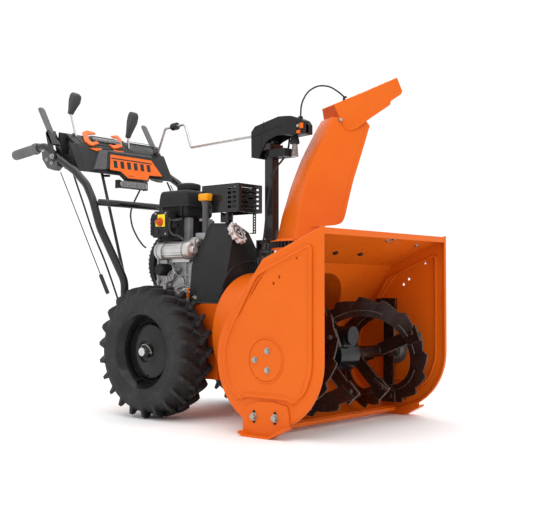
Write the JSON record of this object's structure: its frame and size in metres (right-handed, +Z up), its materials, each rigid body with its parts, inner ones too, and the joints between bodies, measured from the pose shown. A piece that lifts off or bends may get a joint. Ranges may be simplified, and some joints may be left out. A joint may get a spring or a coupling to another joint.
{
  "type": "two stage snow blower",
  "caption": "Walk-behind two stage snow blower: auger housing, impeller, turning chute with deflector, engine, friction drive, wheels and handlebar controls.",
  "frame": {"origin": "on the ground under the middle of the machine's bounding box", "axes": "+Z up; the machine faces -Y; -X is the operator's right"},
  "size_m": [0.6734, 1.3833, 1.0432],
  "materials": {
    "orange_paint": "gloss",
    "frame_orange": "satin",
    "black_paint": "satin",
    "auger_paint": "satin",
    "engine_casting": "satin",
    "motor_metal": "satin",
    "black_plastic": "matte",
    "grey_plastic": "matte",
    "tyre_rubber": "matte",
    "grip_rubber": "matte",
    "belt_rubber": "matte",
    "rim_paint": "gloss",
    "steel": "brushed",
    "bearing_steel": "satin",
    "zinc_bolt": "satin",
    "gear_iron": "satin",
    "knob_plastic": "satin",
    "cap_yellow": "satin",
    "choke_red": "satin",
    "cable_black": "satin",
    "aluminium_disc": "satin"
  },
  "bodies": {
    "chassis": {"housing_wrapper": "orange_paint", "side_panel_left": "orange_paint", "side_panel_right": "orange_paint", "impeller_housing": "orange_paint", "scraper_bar": "orange_paint", "skid_shoes": "orange_paint", "bearings": "bearing_steel", "auger_gearcase": "auger_paint", "tractor_frame": "frame_orange", "frame_cover": "frame_orange", "engine_block": "engine_casting", "fuel_tank": "black_plastic", "recoil_housing": "grey_plastic", "starter_motor": "motor_metal", "control_box": "black_plastic", "oil_fill_tube": "grey_plastic", "drive_belt": "belt_rubber", "belt_cover": "grey_plastic", "muffler": "black_paint", "muffler_guard": "black_paint", "chute_post": "black_paint", "head_cover": "grey_plastic", "handlebar_left": "black_paint", "handlebar_right": "black_paint", "handle_grips": "grip_rubber", "lever_housings": "grey_plastic", "cross_brace": "black_paint", "dash_console": "black_plastic", "headlight": "black_plastic", "control_linkage": "cable_black", "hex_bolts": "zinc_bolt"},
    "auger": {"auger_shaft": "steel", "auger_left": "auger_paint", "auger_right": "auger_paint"},
    "impeller": {"impeller_shaft": "gear_iron", "impeller": "auger_paint"},
    "wheels": {"drive_axle": "steel", "rim_left": "rim_paint", "rim_right": "rim_paint", "tyre_left": "tyre_rubber", "tyre_right": "tyre_rubber"},
    "friction_wheel": {"friction_wheel": "gear_iron"},
    "friction_disc": {"friction_disc": "aluminium_disc"},
    "engine_shaft": {"crankshaft": "gear_iron"},
    "chute": {"chute": "orange_paint", "chute_ring": "black_plastic", "deflector_cable": "cable_black"},
    "deflector": {"deflector": "orange_paint"},
    "pinion": {"chute_pinion": "gear_iron"},
    "crank": {"crank_rod": "steel"},
    "crank_grip": {"crank_grip": "knob_plastic"},
    "speed_lever": {"speed_lever": "knob_plastic"},
    "deflector_lever": {"deflector_lever": "knob_plastic"},
    "auger_lever": {"auger_lever": "grip_rubber"},
    "traction_lever": {"traction_lever": "grip_rubber"},
    "fuel_cap": {"fuel_cap": "grey_plastic"},
    "dipstick": {"dipstick": "cap_yellow"},
    "choke_knob": {"choke_knob": "choke_red"},
    "start_button": {"start_button": "black_plastic"},
    "recoil_grip": {"recoil_grip": "black_plastic"}
  },
  "joints": [
    {"name": "auger_spin", "type": "hinge", "parent": "chassis", "child": "auger", "pos_m": [0, -0.515, 0.197], "axis": [1, 0, 0], "continuous": true},
    {"name": "impeller_spin", "type": "hinge", "parent": "chassis", "child": "impeller", "pos_m": [0, -0.691, 0.25], "axis": [0, 1, 0], "continuous": true},
    {"name": "wheel_spin", "type": "hinge", "parent": "chassis", "child": "wheels", "pos_m": [0, -0.005, 0.196], "axis": [1, 0, 0], "continuous": true},
    {"name": "friction_wheel_spin", "type": "hinge", "parent": "chassis", "child": "friction_wheel", "pos_m": [0, -0.0005, 0.27462], "axis": [1, 0, 0], "continuous": true},
    {"name": "engine_spin", "type": "hinge", "parent": "chassis", "child": "engine_shaft", "pos_m": [0, -0.691, 0.46], "axis": [0, 1, 0], "continuous": true},
    {"name": "friction_disc_spin", "type": "hinge", "parent": "chassis", "child": "friction_disc", "pos_m": [0, -0.691, 0.262], "axis": [0, 1, 0], "continuous": true},
    {"name": "chute_turn", "type": "hinge", "parent": "chassis", "child": "chute", "pos_m": [0.04, -0.353, 0.5], "axis": [0, 0, 1], "range_deg": [-150, 15]},
    {"name": "pinion_turn", "type": "hinge", "parent": "chassis", "child": "pinion", "pos_m": [0.04, -0.241, 0.5], "axis": [0, 0, 1], "range_deg": [-55, 551]},
    {"name": "crank_turn", "type": "hinge", "parent": "chassis", "child": "crank", "pos_m": [0.04, -0.193, 0.853], "axis": [0.2149, 0.9764, 0.0205], "range_deg": [-551, 55]},
    {"name": "crank_grip_spin", "type": "hinge", "parent": "crank", "child": "crank_grip", "pos_m": [0.14664, 0.29157, 0.94721], "axis": [0.2149, 0.9764, 0.0205], "continuous": true},
    {"name": "deflector_tilt", "type": "hinge", "parent": "chute", "child": "deflector", "pos_m": [0.13267, -0.40021, 0.88], "axis": [0.454, 0.891, 0], "range_deg": [0, 40], "deforming": ["deflector_cable"]},
    {"name": "deflector_lever_tilt", "type": "hinge", "parent": "chassis", "child": "deflector_lever", "pos_m": [-0.15, 0.434, 0.812], "axis": [1, 0, 0], "range_deg": [0, 24.5]},
    {"name": "speed_lever_tilt", "type": "hinge", "parent": "chassis", "child": "speed_lever", "pos_m": [0.06, 0.434, 0.812], "axis": [1, 0, 0], "range_deg": [-14, 14]},
    {"name": "auger_lever_squeeze", "type": "hinge", "parent": "chassis", "child": "auger_lever", "pos_m": [0.23, 0.46, 0.816], "axis": [-1, 0, 0], "range_deg": [0, 24], "stiffness_Nm_per_rad": 3, "springref_deg": -8.59},
    {"name": "traction_lever_squeeze", "type": "hinge", "parent": "chassis", "child": "traction_lever", "pos_m": [-0.23, 0.46, 0.816], "axis": [-1, 0, 0], "range_deg": [0, 24], "stiffness_Nm_per_rad": 3, "springref_deg": -8.59},
    {"name": "fuel_cap_turn", "type": "hinge", "parent": "chassis", "child": "fuel_cap", "pos_m": [-0.04, 0.034, 0.7], "axis": [0, 0, 1], "range_deg": [0, 120]},
    {"name": "dipstick_pull", "type": "slide", "parent": "chassis", "child": "dipstick", "axis": [0, 0, 1], "range_m": [0, 0.12]},
    {"name": "choke_turn", "type": "hinge", "parent": "chassis", "child": "choke_knob", "pos_m": [-0.15, 0.045, 0.586], "axis": [-1, 0, 0], "range_deg": [0, 80]},
    {"name": "start_button_press", "type": "slide", "parent": "chassis", "child": "start_button", "axis": [1, 0, 0], "range_m": [0, 0.004], "stiffness_N_per_m": 600, "springref_m": -0.001},
    {"name": "recoil_pull", "type": "slide", "parent": "chassis", "child": "recoil_grip", "axis": [0, 1, 0], "range_m": [0, 0.5], "stiffness_N_per_m": 20, "springref_m": -0.1}
  ],
  "couplings": [
    {"joint": "impeller_spin", "follows": "auger_spin", "ratio": 10},
    {"joint": "friction_wheel_spin", "follows": "wheel_spin", "ratio": -3.5},
    {"joint": "friction_disc_spin", "follows": "engine_spin", "ratio": 0.5},
    {"joint": "pinion_turn", "follows": "chute_turn", "ratio": -3.6667},
    {"joint": "crank_turn", "follows": "chute_turn", "ratio": 3.6667},
    {"joint": "deflector_lever_tilt", "follows": "deflector_tilt", "ratio": 0.6}
  ]
}
